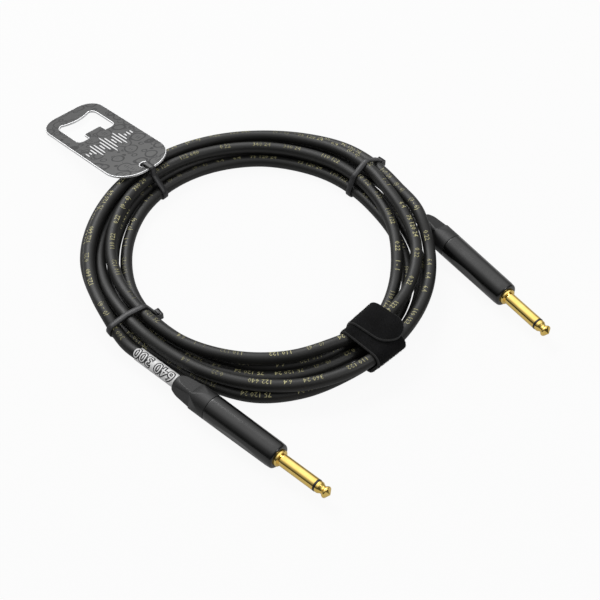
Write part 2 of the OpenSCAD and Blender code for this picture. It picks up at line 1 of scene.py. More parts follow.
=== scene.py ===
# Instrument cable: a coiled lead with a 6.35 mm plug on each end, three cable ties,
# a hook-and-loop strap and a metal tag. Metres, +Z up, origin at the coil's centre.
import json
import math
import random
import bmesh
import bpy
from mathutils import Matrix, Vector, geometry

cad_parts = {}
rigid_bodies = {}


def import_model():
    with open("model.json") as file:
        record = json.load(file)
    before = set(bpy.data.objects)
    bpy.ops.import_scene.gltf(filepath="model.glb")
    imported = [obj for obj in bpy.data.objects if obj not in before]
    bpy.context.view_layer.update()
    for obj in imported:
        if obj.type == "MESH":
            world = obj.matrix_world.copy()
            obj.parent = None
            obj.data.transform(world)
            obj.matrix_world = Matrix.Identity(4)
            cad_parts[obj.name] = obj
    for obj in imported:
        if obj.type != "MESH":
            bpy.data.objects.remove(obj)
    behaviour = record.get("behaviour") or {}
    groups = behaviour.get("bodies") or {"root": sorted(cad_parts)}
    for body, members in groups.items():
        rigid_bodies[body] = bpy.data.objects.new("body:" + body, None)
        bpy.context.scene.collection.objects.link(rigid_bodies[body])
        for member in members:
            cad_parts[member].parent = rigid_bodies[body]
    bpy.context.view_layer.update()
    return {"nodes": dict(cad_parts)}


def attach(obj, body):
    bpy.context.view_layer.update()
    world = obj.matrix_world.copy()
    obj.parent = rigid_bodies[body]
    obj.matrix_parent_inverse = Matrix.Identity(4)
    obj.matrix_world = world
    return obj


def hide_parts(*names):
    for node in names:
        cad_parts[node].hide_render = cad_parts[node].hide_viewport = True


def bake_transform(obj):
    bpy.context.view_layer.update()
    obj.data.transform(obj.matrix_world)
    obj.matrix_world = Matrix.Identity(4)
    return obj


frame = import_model()

# ---- Camera ----
# A long lens looks down on the coil from the front, at about half a right angle.
aim = Vector((0.0215, -0.0247, 0))
camera_distance = 0.729
camera_elevation = math.radians(49.3)


def put(piece):
    """Links an object to the scene."""
    bpy.context.scene.collection.objects.link(piece)
    return piece


lens = bpy.data.cameras.new("camera")
lens.lens = 84.1
camera = put(bpy.data.objects.new("camera", lens))
camera.location = aim + camera_distance * Vector(
    (0, -math.cos(camera_elevation), math.sin(camera_elevation)))
camera.rotation_euler = (math.pi / 2 - camera_elevation, 0, 0)
bpy.context.scene.camera = camera

# ---- Cable ----
# About 3 m of round cable in a soft PVC jacket. It is wound by hand into a flat coil: a
# layer that spirals inwards, then one on top that spirals outwards, and a turn that
# crosses the others on the left. Its ends run straight into the two plugs.
MM = 0.001
CABLE_R = 3.2
LANE_R, LANE_PITCH, LAYER_PITCH = 73.1, 6.95, 6.9
TABLE_GAP = 0.2

# The lane and the layer of each turn at every 30 degrees
winding = [
    [(2, 0), (2, 0), (2.1, 0), (2.4, 0), (2.4, 0), (2.15, 0),
     (1.6, .26), (1.07, 1), (1.15, 1), (2.1, 1), (2.8, 1), (2.65, 1)],
    [(2.35, 1.15), (1.93, 1.31), (3.07, .486), (3.4, 0), (3.4, 0), (3.2, 0),
     (2.7, 0), (1.6, 0), (1.25, 0), (2.4, 0), (2.3, 0), (2.18, 0)],
    [(1.67, 0), (.975, 0), (1.1, 0), (1.4, 0), (1.4, 0), (1.11, 0),
     (.629, 0), (.38, 0), (.2, 0), (.75, 0), (1.07, 0), (1.17, 0)],
    [(.64, 0), (-.03, 0), (.1, 0), (.4, 0), (.4, 0), (.1, 0),
     (-.37, 0), (-.62, 0), (-.83, 0), (-.28, 0), (.05, 0), (.15, 0)],
    [(-.1, .95), (.2, 1), (.65, 1), (.95, 1), (1.2, 1), (1.2, 1),
     (.681, 1), (-.05, 1), (-.25, 1), (-.2, 1), (.1, 1), (1, 1)],
    [(1.33, 1.55), (.88, 1.95), (2.08, 1.1), (2.3, 1), (2.4, 1),
     (2.4, 1), (2.33, 1), (2.15, 1), (2.2, .5)],
]
stations = [station for turn in winding for station in turn]
FIRST_RING, LAST_RING, RING_STEP = 45, 2010, 15

# The turns rise over the bands under them, and one hops over the boot of plug B:
# angle, rise in mm, reach in degrees
TIE_ANGLES = {"tie_1": 137.6, "tie_2": 46, "tie_3": 216}
STRAP_ANGLE, TAB_SKEW = 313.5, 4.5
rises = [(angle, 0.9, 25) for angle in TIE_ANGLES.values()]
rises.append((STRAP_ANGLE + TAB_SKEW / 2, 1.7, 30))
HOP_ANGLE, HOP_LAYERS, HOP_REACH = 377, 0.802, 20
RISE_FLAT = 10


def polar(angle, r=1.0, z=0.0):
    """A point at an angle and a distance from the coil's axis."""
    turn = math.radians(angle)
    return Vector((r * math.cos(turn), r * math.sin(turn), z))


def low_z(angle):
    """Height of the lowest turns."""
    rise = 0
    for at, height, reach in rises:
        away = abs((angle - at + 180) % 360 - 180)
        rise = max(rise, height * max(0, min(1, (reach - away) / (reach - RISE_FLAT))))
    return TABLE_GAP + CABLE_R + rise


def coil_point(angle):
    i = math.floor(angle / 30)
    t = angle / 30 - i
    a, b, c, d = (stations[max(0, min(len(stations) - 1, i + k))] for k in (-1, 0, 1, 2))
    lane, layer = (0.5 * (2 * q + (r - p) * t + (2 * p - 5 * q + 4 * r - s) * t ** 2
                          + (3 * q - p - 3 * r + s) * t ** 3) for p, q, r, s in zip(a, b, c, d))
    hop = 0
    if abs(angle - HOP_ANGLE) < HOP_REACH:
        hop = HOP_LAYERS * (0.5 + 0.5 * math.cos(math.pi * (angle - HOP_ANGLE) / HOP_REACH))
    return polar(angle, LANE_R + LANE_PITCH * lane,
                 low_z(angle) + LAYER_PITCH * (max(0, layer) + hop))


# Where the plugs lie: heading, lane and angle at which the cable leaves the coil, and
# the cable's way from the boot back to the coil: back, sideways, height
PLUG_H = 7
plug_heading = {"a": -41.3, "b": -53.3}
plug_exit = {"a": (2.2, 228.5), "b": (2.1, 36.6)}
plug_route = {"a": [(0, 0, 7), (9, 0, 7), (18, 0, 7), (27, 0, 7)],
              "b": [(0, 0, 7), (5, 0, 7), (10, 0, 7), (16, .2, 6.5), (22, .9, 5.4),
                     (27, 1.6, 4.6), (32, 1.9, 4.2)]}
JACKET_END = 37


def directions(side):
    return polar(plug_heading[side]), polar(plug_heading[side] + 90)


def boot_rear(side):
    ahead, aside = directions(side)
    lane, angle = plug_exit[side]
    back, sideways, _ = plug_route[side][-1]
    return polar(angle, LANE_R + LANE_PITCH * lane) + back * ahead - sideways * aside


def at_plug(side, x, y, z):
    ahead, aside = directions(side)
    return boot_rear(side) + x * ahead + y * aside + Vector((0, 0, z))


def tail(side):
    """From inside the plug to just inside the coil."""
    back, sideways, height = plug_route[side][-1]
    route = [(-JACKET_END, 0, PLUG_H), (-24, 0, PLUG_H), (-12, 0, PLUG_H)]
    route += plug_route[side] + [(back + 2 * CABLE_R, sideways, height)]
    return [at_plug(side, -x, y, z) for x, y, z in route]


def smoothed(points, step):
    """A smooth line through the points, cut into short pieces."""
    chord = [(q - p).length for p, q in zip(points, points[1:])]
    slope = [(points[1] - points[0]) / chord[0]]
    for i in range(1, len(points) - 1):
        before, after = chord[i - 1], chord[i]
        slope.append(((points[i] - points[i - 1]) / before * after
                      + (points[i + 1] - points[i]) / after * before) / (before + after))
    slope.append((points[-1] - points[-2]) / chord[-1])
    line = []
    for i, size in enumerate(chord):
        pieces = max(1, round(size / step))
        for k in range(pieces):
            t = k / pieces
            line.append((2 * t ** 3 - 3 * t ** 2 + 1) * points[i]
                        + (t ** 3 - 2 * t ** 2 + t) * size * slope[i]
                        + (3 * t ** 2 - 2 * t ** 3) * points[i + 1]
                        + (t ** 3 - t ** 2) * size * slope[i + 1])
    return line + [points[-1]]


rings = [coil_point(a) for a in range(FIRST_RING, LAST_RING + 1, RING_STEP)]
cable_line = [p * MM for p in smoothed(tail("a") + rings[::-1] + tail("b")[::-1], 2.4)]
cable_run = [0]
for p, q in zip(cable_line, cable_line[1:]):
    cable_run.append(cable_run[-1] + (q - p).length)


class Value:
    """A socket that does arithmetic. Each operator adds one Math node."""

    def __init__(self, tree, socket):
        self.tree, self.socket = tree, socket

    def maths(self, operation, *others):
        return self.tree.node("ShaderNodeMath", dict(enumerate((self, *others))),
                              operation=operation)

    def __add__(self, other):
        return self.maths("ADD", other)

    def __sub__(self, other):
        return self.maths("SUBTRACT", other)

    def __mul__(self, other):
        return self.maths("MULTIPLY", other)

    def __truediv__(self, other):
        return self.maths("DIVIDE", other)

    def __gt__(self, other):
        return self.maths("GREATER_THAN", other)

    def __lt__(self, other):
        return self.maths("LESS_THAN", other)

    def __abs__(self):
        return self.maths("ABSOLUTE")

    def most(self, other):
        return self.maths("MAXIMUM", other)

    def twin(self, output):
        """Another output of the same node."""
        return Value(self.tree, self.socket.node.outputs[output])


class Nodes:
    """A node tree whose nodes are made with their settings and inputs."""

    def __init__(self, tree):
        self.nodes, self.links = tree.nodes, tree.links
        self.nodes.clear()

    def fill(self, socket, value):
        if isinstance(value, Value):
            self.links.new(value.socket, socket)
        elif socket.type == "RGBA" and len(value) == 3:
            socket.default_value = (*value, 1)
        else:
            socket.default_value = value

    def node(self, kind, inputs=None, output=0, **settings):
        made = self.nodes.new(kind)
        for name, value in settings.items():
            if name == "stops":
                while len(made.color_ramp.elements) < len(value):
                    made.color_ramp.elements.new(0.5)
                for stop, (place, color) in zip(made.color_ramp.elements, value):
                    stop.position, stop.color = place, (*color, 1)
            else:
                setattr(made, name, value)
        for name, value in (inputs or {}).items():
            self.fill(made.inputs[name], value)
        return Value(self, made.outputs[output])

    def ramp(self, value, *stops):
        """Blends colours over a value; a stop is a place and a colour or a grey."""
        colors = [(place, c if isinstance(c, tuple) else (c, c, c)) for place, c in stops]
        return self.node("ShaderNodeValToRGB", {0: value}, stops=colors)

    def blend(self, mask, first, second):
        """One shader where a mask is 0, another where it is 1."""
        return self.node("ShaderNodeMixShader", {0: mask, 1: first, 2: second})


class Finish(Nodes):
    """A material: a shader with constants, and the nodes that vary some of its sockets."""

    def __init__(self, name, **constants):
        self.material = bpy.data.materials.new(name)
        self.material.use_nodes = True
        super().__init__(self.material.node_tree)
        self.shader = self.node("ShaderNodeBsdfPrincipled")
        self.end = self.nodes.new("ShaderNodeOutputMaterial").inputs[0]
        self.fill(self.end, self.shader)
        self.set(**constants)

    def set(self, **sockets):
        for name, value in sockets.items():
            self.fill(self.shader.socket.node.inputs[name.replace("_", " ")], value)

    def coordinates(self, kind="Object", scale=(1, 1, 1), turn=(0, 0, 0), move=(0, 0, 0)):
        source = self.node("ShaderNodeTexCoord", output=kind)
        return self.node("ShaderNodeMapping", {
            "Vector": source, "Scale": scale, "Rotation": turn, "Location": move})

    def noise(self, place, scale, detail=3.0):
        return self.node("ShaderNodeTexNoise", {
            "Vector": place, "Scale": scale, "Detail": detail})

    def mix(self, mask, first, second):
        return self.node("ShaderNodeMix", {0: mask, 6: first, 7: second}, 2, data_type="RGBA")

    def bump(self, height, distance, strength=1.0):
        self.set(Normal=self.node("ShaderNodeBump", {
            "Height": height, "Distance": distance, "Strength": strength}))


def vinyl_finish():
    """Soft black PVC: an even matt skin with faint drawing lines and handling marks."""
    vinyl = Finish("jacket_vinyl", Specular_IOR_Level=0.5)
    place = vinyl.coordinates()
    along = vinyl.coordinates("UV", scale=(9, 40, 1))
    cloud = vinyl.noise(place, 45, 4)
    lines = vinyl.noise(along, 6, 3)
    grain = vinyl.noise(place, 2600, 2)
    vinyl.set(Base_Color=vinyl.ramp(cloud * 0.6 + lines * 0.4, (0.3, (.005, .005, .0045)),
                                    (0.7, (.0095, .0095, .0085))),
              Roughness=cloud * 0.14 + lines * 0.1 + 0.38)
    vinyl.bump(grain * 0.6 + lines * 0.4, 0.00003)
    return vinyl.material


jacket_vinyl = vinyl_finish()


def dress(mesh, material, sharp):
    """A mesh's material, and smooth shading up to an angle between faces."""
    if material:
        mesh.materials.clear()
        mesh.materials.append(material)
    mesh.shade_smooth()
    mesh.set_sharp_from_angle(angle=sharp)


def finish_piece(piece, material, body, slot, *nodes, sharp=math.radians(40)):
    """Gives a piece its material and its place in the frame."""
    if piece.name not in bpy.context.scene.collection.objects:
        put(piece)
    dress(piece.data, material, sharp)
    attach(piece, body)
    if nodes:
        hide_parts(*nodes)
    return piece


def new_piece(name, points, faces, corners=None):
    """A mesh object; corners are the places of each face's corners on a flat map."""
    mesh = bpy.data.meshes.new(name)
    mesh.from_pydata([tuple(p) for p in points], [], faces)
    mesh.validate()
    if corners:
        layer = mesh.uv_layers.new(name="map")
        for face, places in zip(mesh.polygons, corners):
            for loop, place in zip(face.loop_indices, places):
                layer.data[loop].uv = place
    return bpy.data.objects.new(name, mesh)


def faces_between(rows, sides, closed):
    """The faces of a tube whose rows of points follow each other."""
    faces = []
    for i in range(rows if closed else rows - 1):
        a, b = i * sides, (i + 1) % rows * sides
        for k in range(sides):
            n = (k + 1) % sides
            faces.append((a + k, a + n, b + n, b + k))
    return faces


def end_faces(rows, sides):
    """The two lids of an open tube."""
    return [tuple(reversed(range(sides))), tuple((rows - 1) * sides + k for k in range(sides))]


def tube_map(rows, around):
    """Where the faces between rows lie on a flat map, with the rows one after another."""
    return [[(a, p), (a, q), (b, q), (b, p)]
            for a, b in zip(rows, rows[1:]) for p, q in zip(around, around[1:])]


def face_outwards(piece, join=False, check=False):
    """Turns all faces outwards; joins points that lie together, and checks, if asked to."""
    bm = bmesh.new()
    bm.from_mesh(piece.data)
    if join:
        bmesh.ops.remove_doubles(bm, verts=bm.verts, dist=1e-6)
    bmesh.ops.recalc_face_normals(bm, faces=bm.faces)
    if check and bm.calc_volume(signed=True) < 0:
        bmesh.ops.reverse_faces(bm, faces=bm.faces)
    bm.to_mesh(piece.data)
    bm.free()


def make_jacket(sides=20):
    points = []
    last = len(cable_line) - 1
    for i, p in enumerate(cable_line):
        along = (cable_line[min(last, i + 1)] - cable_line[max(0, i - 1)]).normalized()
        across = Vector((0, 0, 1)).cross(along).normalized()
        over = along.cross(across)
        for k in range(sides):
            turn = 2 * math.pi * k / sides
            points.append(p + CABLE_R * MM * (across * math.sin(turn) + over * math.cos(turn)))
    marks = tube_map(cable_run, [k / sides for k in range(sides + 1)]) + [[(0, 0)] * sides] * 2
    faces = faces_between(last + 1, sides, False) + end_faces(last + 1, sides)
    return new_piece("cable", points, faces, marks)


cable = make_jacket()
finish_piece(cable, jacket_vinyl, "root", "jacket", "cable_coil", "cable_tail_a", "cable_tail_b")

# ---- Print on the cable ----
# Groups of plain numbers in a thin gold ink, rolled on along the whole jacket. The flat
# print is wrapped on the cable by a node tree that samples the cable's line.
route = bpy.data.curves.new("cable_route", "CURVE")
route.dimensions = "3D"
run_points = route.splines.new("POLY").points
run_points.add(len(cable_line) - 1)
for spot, p in zip(run_points, cable_line):
    spot.co = (*p, 1)
cable_route = put(bpy.data.objects.new("cable_route", route))


def plain_mesh(piece):
    """The mesh that an object comes to with all its modifiers."""
    graph = bpy.context.evaluated_depsgraph_get()
    return bpy.data.meshes.new_from_object(piece.evaluated_get(graph))


def apply_modifiers(piece):
    mesh = plain_mesh(piece)
    piece.modifiers.clear()
    piece.data = mesh


class Tree(Nodes):
    """A Geometry Nodes tree with named inputs."""

    def __init__(self, name, **inputs):
        self.group = bpy.data.node_groups.new(name, "GeometryNodeTree")
        super().__init__(self.group)
        face = self.group.interface
        face.new_socket("Geometry", in_out="OUTPUT", socket_type="NodeSocketGeometry")
        self.ids = {}
        for label, kind in {"Geometry": "Geometry", **inputs}.items():
            socket = face.new_socket(label, in_out="INPUT", socket_type="NodeSocket" + kind)
            self.ids[label] = socket.identifier
        self.input = self.node("NodeGroupInput")
        self.end = self.nodes.new("NodeGroupOutput").inputs[0]

    def __getitem__(self, label):
        return self.input.twin(label)

    def vectors(self, operation, *values):
        return self.node("ShaderNodeVectorMath", dict(enumerate(values)), operation=operation)

    def finish(self, geometry):
        """Makes the instances real and gives everything the tree's material."""
        real = self.node("GeometryNodeRealizeInstances", {"Geometry": geometry})
        self.fill(self.end, self.node("GeometryNodeSetMaterial", {
            "Geometry": real, "Material": self["Finish"]}))

    def bake(self, piece, **inputs):
        """Runs the tree on a piece and keeps the plain mesh that comes out."""
        modifier = put(piece).modifiers.new(self.group.name, "NODES")
        modifier.node_group = self.group
        for label, value in inputs.items():
            modifier[self.ids[label]] = value
        apply_modifiers(piece)
        return piece


def make_wrap_tree():
    """Wraps a flat piece on a path: x runs along it, y round it, z stands off it."""
    tree = Tree("wrapped_on_cable", Path="Object", Radius="Float", Start="Float",
                Drift="Float", Finish="Material")
    flat = tree.node("ShaderNodeSeparateXYZ", {0: tree.node("GeometryNodeInputPosition")})
    run = flat + tree["Start"]
    path = tree.node("GeometryNodeObjectInfo", {"Object": tree["Path"]}, "Geometry")
    spot = tree.node("GeometryNodeSampleCurve", {"Curves": path, "Length": run}, "Position",
                     mode="LENGTH")
    along = spot.twin("Tangent")
    across = tree.vectors("NORMALIZE", tree.vectors("CROSS_PRODUCT", (0, 0, 1), along))
    over = tree.vectors("CROSS_PRODUCT", along, across)
    turn = flat.twin(1) / tree["Radius"] + (run * 7.3).maths("SINE") * tree["Drift"]
    reach = tree["Radius"] + flat.twin(2)
    for direction, operation in ((across, "SINE"), (over, "COSINE")):
        part = tree.node("ShaderNodeVectorMath", {
            0: direction, "Scale": turn.maths(operation) * reach}, operation="SCALE")
        spot = tree.vectors("ADD", spot, part)
    tree.finish(tree.node("GeometryNodeSetPosition", {
        "Geometry": tree["Geometry"], "Position": spot}))
    return tree


wrap_tree = make_wrap_tree()


def flat_figures(text, size, grow=0, resolution=1):
    """Plain figures as a flat mesh, from x = 0 on and centred on y = 0."""
    figures = bpy.data.curves.new("figures", "FONT")
    figures.body, figures.size = text, size
    figures.offset, figures.resolution_u = grow, resolution
    figures.align_y = "CENTER"
    holder = put(bpy.data.objects.new("figures", figures))
    mesh = plain_mesh(holder)
    bpy.data.objects.remove(holder)
    return mesh


def striped(mesh, lines):
    """Cuts a flat mesh along lines of equal y, so that it can bend round the cable."""
    bm = bmesh.new()
    bm.from_mesh(mesh)
    for y in lines:
        bmesh.ops.bisect_plane(bm, geom=bm.verts[:] + bm.edges[:] + bm.faces[:],
                               plane_co=(0, y, 0), plane_no=(0, 1, 0), dist=1e-7)
    return bm


def piece_from(name, bm):
    mesh = bpy.data.meshes.new(name)
    bm.to_mesh(mesh)
    bm.free()
    return bpy.data.objects.new(name, mesh)


def gold_ink_finish():
    ink = Finish("gold_ink", Roughness=0.5, Specular_IOR_Level=0.4)
    place = ink.coordinates()
    worn, faded = ink.noise(place, 900, 3), ink.noise(place, 24, 1)
    ink.set(Base_Color=ink.ramp(worn * 0.4 + faded * 0.6, (0.4, (.13, .125, .07)),
                                (0.6, (.62, .58, .3))))
    return ink.material


PRINT_SIZE, PRINT_MARGIN, PRINT_LIFT = 0.0037, 0.075, 0.00003


def make_cable_print():
    chance = random.Random(7)
    groups = ["122 640", "0.22", "6.4", "75 120 24", "1 - 1", "360 24", "(0 - 6)", "110 122"]
    text = ""
    while len(text) < 2000:
        text += chance.choice(groups) + " " * chance.choice((5, 7, 12))
    bm = striped(flat_figures(text, PRINT_SIZE), (-0.0009, -0.0003, 0.0003, 0.0009))
    end = cable_run[-1] - 2 * PRINT_MARGIN
    bmesh.ops.delete(bm, geom=[v for v in bm.verts if v.co.x > end], context="VERTS")
    for v in bm.verts:
        v.co.z = PRINT_LIFT
    return piece_from("cable_print", bm)


cable_print = wrap_tree.bake(make_cable_print(), Path=cable_route, Radius=CABLE_R * MM,
                             Start=PRINT_MARGIN, Drift=0.3, Finish=gold_ink_finish())
finish_piece(cable_print, None, "root", "label_white")

# ---- Label sleeves ----
# A white sleeve shrunk on the cable behind each boot, printed with plain figures in a
# thick black outline. Its front end is inside the boot.
LABEL_R, LABEL_LENGTH, LABEL_WALL, IN_BOOT, FIGURE_SIZE = 3.55, 31, 0.3, 4, 0.0082


def drifting(name, low, high, rough, cloud=(700, 3), grain=None, bump=None, **constants):
    """A material whose colour and roughness drift with a soft cloud, over a fine grain.
    cloud and grain are a scale and a detail, rough is a base and the share of each, and
    bump is a depth and a strength."""
    made = Finish(name, **constants)
    place = made.coordinates()
    cloud = made.noise(place, *cloud)
    grain = made.noise(place, *grain) if grain else cloud
    sheen = cloud * rough[1] + rough[0]
    if len(rough) > 2:
        sheen = grain * rough[2] + sheen
    made.set(Base_Color=made.ramp(cloud, (0.3, low), (0.7, high)), Roughness=sheen)
    if bump:
        made.bump(grain, *bump)
    return made.material


label_film = drifting("label_film", (.78, .78, .785), (.88, .88, .87), rough=(0.28, 0.2),
                      cloud=(320, 3), bump=(0.00012, 0.6), Specular_IOR_Level=0.5,
                      Coat_Weight=0.15)


def plug_matrix(side):
    ahead, aside = directions(side)
    turn = Matrix((ahead, aside, (0, 0, 1))).transposed().to_4x4()
    return Matrix.Translation((boot_rear(side) + Vector((0, 0, PLUG_H))) * MM) @ turn \
        @ Matrix.Scale(MM, 4)


def rounded(outline, steps=3):
    """Rounds the corners of a closed outline of (x, radius, rounding)."""
    line = []
    for i, (x, r, size) in enumerate(outline):
        here = Vector((x, r))
        if not size:
            line.append(here)
            continue
        start, end = (here + (Vector(outline[k % len(outline)][:2]) - here).normalized() * size
                      for k in (i - 1, i + 1))
        for k in range(steps + 1):
            t = k / steps
            line.append((1 - t) ** 2 * start + 2 * t * (1 - t) * here + t * t * end)
    return line


def divided(line, longest):
    cut = []
    for p, q in zip(line, line[1:] + line[:1]):
        pieces = max(1, math.ceil((q - p).length / longest))
        cut += [p + (q - p) * k / pieces for k in range(pieces)]
    return cut


def turned(name, line, sides=96, shape=None, place=None):
    """A ring-shaped solid, turned from a closed outline of (x, radius) round the x axis."""
    points, faces, starts = [], [], []
    for x, r in line:
        starts.append(len(points))
        for k in range(sides if r > 1e-6 else 1):
            turn = 2 * math.pi * k / sides
            reach = shape(x, r, turn) if shape else r
            points.append(Vector((x, reach * math.sin(turn), reach * math.cos(turn))))
    for i, start in enumerate(starts):
        j = (i + 1) % len(starts)
        near, far = line[i][1] > 1e-6, line[j][1] > 1e-6
        for k in range(sides):
            n = (k + 1) % sides
            if near and far:
                faces.append((start + k, starts[j] + k, starts[j] + n, start + n))
            elif near:
                faces.append((start + k, starts[j], start + n))
            elif far:
                faces.append((start, starts[j] + k, starts[j] + n))
    piece = new_piece(name, points, faces)
    face_outwards(piece, check=True)
    if place:
        piece.data.transform(place)
    return piece


def make_label(side):
    """The sleeve follows the cable's line, so it is a wide tube with a thin wall."""
    rows, steps = 48, 62
    points = [(x * LABEL_LENGTH / steps * MM,
               (turn / rows - 0.5) * 2 * math.pi * LABEL_R * MM, 0)
              for turn in range(rows + 1) for x in range(steps + 1)]
    starts = [turn * (steps + 1) + x for turn in range(rows) for x in range(steps)]
    return new_piece("label_" + side, points,
                     [(a, a + 1, a + steps + 2, a + steps + 1) for a in starts])


def label_start(side):
    """How far along the cable the sleeve begins."""
    if side == "a":
        return (JACKET_END - IN_BOOT) * MM
    return cable_run[-1] - (JACKET_END - IN_BOOT + LABEL_LENGTH) * MM


def close_wall(piece, inside):
    """Closes a rolled sheet along its seam and gives it a wall."""
    face_outwards(piece, join=True)
    wall = piece.modifiers.new("wall", "SOLIDIFY")
    wall.thickness, wall.offset = inside, -1
    apply_modifiers(piece)


def make_label_figures(name, move, grow, height):
    """The label's figures, made bolder or thinner, at a height above the sleeve."""
    bm = striped(flat_figures("640 300", FIGURE_SIZE, grow, 3),
                 [k * 0.0006 for k in range(-5, 6)])
    for v in bm.verts:
        v.co = (v.co.x + move[0], v.co.y + move[1], height)
    return piece_from(name, bm)


label_black = Finish("label_ink", Roughness=0.45, Base_Color=(.008, .008, .009)).material
for side, move in (("a", (0.0055, 0.0013)), ("b", (0.0012, -0.0013))):
    on_label = {"Path": cable_route, "Radius": LABEL_R * MM, "Start": label_start(side),
                "Drift": 0}
    sleeve = wrap_tree.bake(make_label(side), **on_label, Finish=label_film)
    close_wall(sleeve, LABEL_WALL * MM)
    finish_piece(sleeve, label_film, "root", "label_white", "label_sleeve_" + side)
    for shade, ink, grow, height in (("black", label_black, 0.0006, 0.00005),
                                     ("white", label_film, -0.00005, 0.0001)):
        flat = make_label_figures(f"label_{shade}_{side}", move, grow, height)
        finish_piece(wrap_tree.bake(flat, **on_label, Finish=ink), None, "root", "label_white")

# ---- Boots ----
# The moulded rear half of each plug's casing: a rounded square at the rear that steps up
# to a cylinder through four arched flats, with a threaded spigot that screws into the shell.
BOOT_LEN, SPIGOT_X, PLUG_R = 23.3, 31.3, 7
BOOT_ROLL = {"a": math.radians(-33), "b": math.radians(-27)}
NECK_END, ARCH_END, ARCH_TURN, FLAT = 12, 20, math.radians(44), 5.1
# Hard black plastic with a fine spark-eroded grain
boot_grain = drifting("boot_grain", (.006, .006, .0062), (.0125, .0125, .0127),
                      rough=(0.36, 0.16), cloud=(110, 4), grain=(3800, 2),
                      bump=(0.00004, 0.6), Specular_IOR_Level=0.5)
boot_line = divided(rounded([
    (0, 3.8, 0.2), (0, 4.7, 0.8), (3.5, 5.8, 0.9), (NECK_END, 6.5, 0.12),
    (NECK_END + 0.4, PLUG_R, 0.15), (BOOT_LEN, PLUG_R, 0.3), (BOOT_LEN, 5.7, 0),
    (SPIGOT_X, 5.7, 0.3), (SPIGOT_X, 5, 0), (16.5, 5, 0), (12.5, 3.8, 0)]), 0.35)


def boot_radius(roll):
    def radius(x, r, turn):
        if x > ARCH_END or r < FLAT:
            return r
        rise = ARCH_TURN * min(1, (ARCH_END - x) / (ARCH_END - NECK_END))
        flat = max(FLAT, PLUG_R * math.cos(rise))
        off = (turn - roll) % (math.pi / 2) - math.pi / 4
        return min(r, flat / math.cos(off))
    return radius


for side in "ab":
    boot = turned("boot_cover_" + side, boot_line, 160, boot_radius(BOOT_ROLL[side]),
                  plug_matrix(side))
    finish_piece(boot, boot_grain, "boot_" + side, "boot_plastic", "boot_" + side,
                 sharp=math.radians(24))

# ---- Shells ----
# A turned metal tube with a satin black lacquer, a long shallow facet on one side and a
# rounded front edge round the finger's collar.
SHELL_X, SHELL_END = 23.45, 66.6
FACET_FROM, FACET_LENGTH, FACET_R, FACET_DEPTH = 31, 29, 6.9, 0.42
FACET_ROLL = math.radians(62)
shell_lacquer = drifting("shell_lacquer", (.002, .002, .0021), (.005, .0052, .005),
                         rough=(0.11, 0.14, 0.08), cloud=(75, 4), grain=(520, 3),
                         bump=(0.00003, 0.4), Specular_IOR_Level=0.5, Coat_Weight=0.35,
                         Coat_Roughness=0.08)
shell_line = divided(rounded([
    (SHELL_X, 5.78, 0), (SHELL_X, PLUG_R, 0.25), (63.4, 6.72, 0.5), (SHELL_END, 6.45, 1.2),
    (SHELL_END, 4.42, 0.3), (62, 4.42, 0), (62, 5.78, 0)], 5), 0.6)


def shell_radius(roll):
    def radius(x, r, turn):
        if r < 6:
            return r
        way = (x - FACET_FROM) / FACET_LENGTH
        if not 0 < way < 1:
            return r
        flat = FACET_R - FACET_DEPTH * math.sin(math.pi * way) ** 0.7
        off = (turn - roll + math.pi) % (2 * math.pi) - math.pi
        return min(r, flat / max(0.2, math.cos(off)))
    return radius


for side in "ab":
    shell = turned("shell_cover_" + side, shell_line, 160,
                   shell_radius(BOOT_ROLL[side] - FACET_ROLL), plug_matrix(side))
    finish_piece(shell, shell_lacquer, "root", "shell_black", "shell_" + side,
                 sharp=math.radians(30))

# ---- Plug fingers ----
# Gold-plated brass: the finger with its collar, a black insulating ring, and the tip.
gold_plate = drifting("gold_plate", (.94, .65, .17), (1, .75, .25), rough=(0.07, 0.08, 0.05),
                      cloud=(180, 3), grain=(1500, 2), bump=(0.00001, 0.3), Metallic=1.0)
COLLAR_X, RING_X, TIP_X, RING_END = 68.1, 89.5, 98.1, 90.5
black_ring = Finish("ring_moulding", Roughness=0.3, Base_Color=(.012, .012, .012)).material
finger_line = divided(rounded([
    (58, 2.1, 0), (58, 5.73, 0.2), (62, 5.73, 0), (62, 4.35, 0), (COLLAR_X, 4.35, 0.35),
    (COLLAR_X, 3.3, 0), (COLLAR_X + 0.25, 3.1, 0), (COLLAR_X + 0.5, 3.175, 0),
    (RING_X, 3.175, 0.12), (RING_X, 2.1, 0)]), 1.5)
ring_line = rounded([(RING_X, 1.25, 0), (RING_X, 3.175, 0.05), (RING_END, 3.175, 0.05),
                     (RING_END, 1.25, 0)])
tip_line = rounded([
    (49.4, 0, 0), (49.4, 1.2, 0), (RING_END, 1.2, 0), (RING_END, 3.0, 0.12), (92.0, 3.0, 0.3),
    (93.5, 2.12, 0.55), (94.3, 2.3, 0.4), (95.1, 3.02, 0.5), (95.75, 3.1, 0.25),
    (96.2, 2.95, 0.2), (97.95, 0.3, 0.15), (TIP_X, 0, 0)], 5)
for side in "ab":
    for name, line, material, slot in (
            ("finger_sleeve", finger_line, gold_plate, "plug_gold"),
            ("tip_ring", ring_line, black_ring, "insulator_black"),
            ("tip_contact", tip_line, gold_plate, "plug_gold")):
        piece = turned(f"{name}_turned_{side}", line, place=plug_matrix(side))
        finish_piece(piece, material, "root", slot, f"{name}_{side}", sharp=math.radians(35))

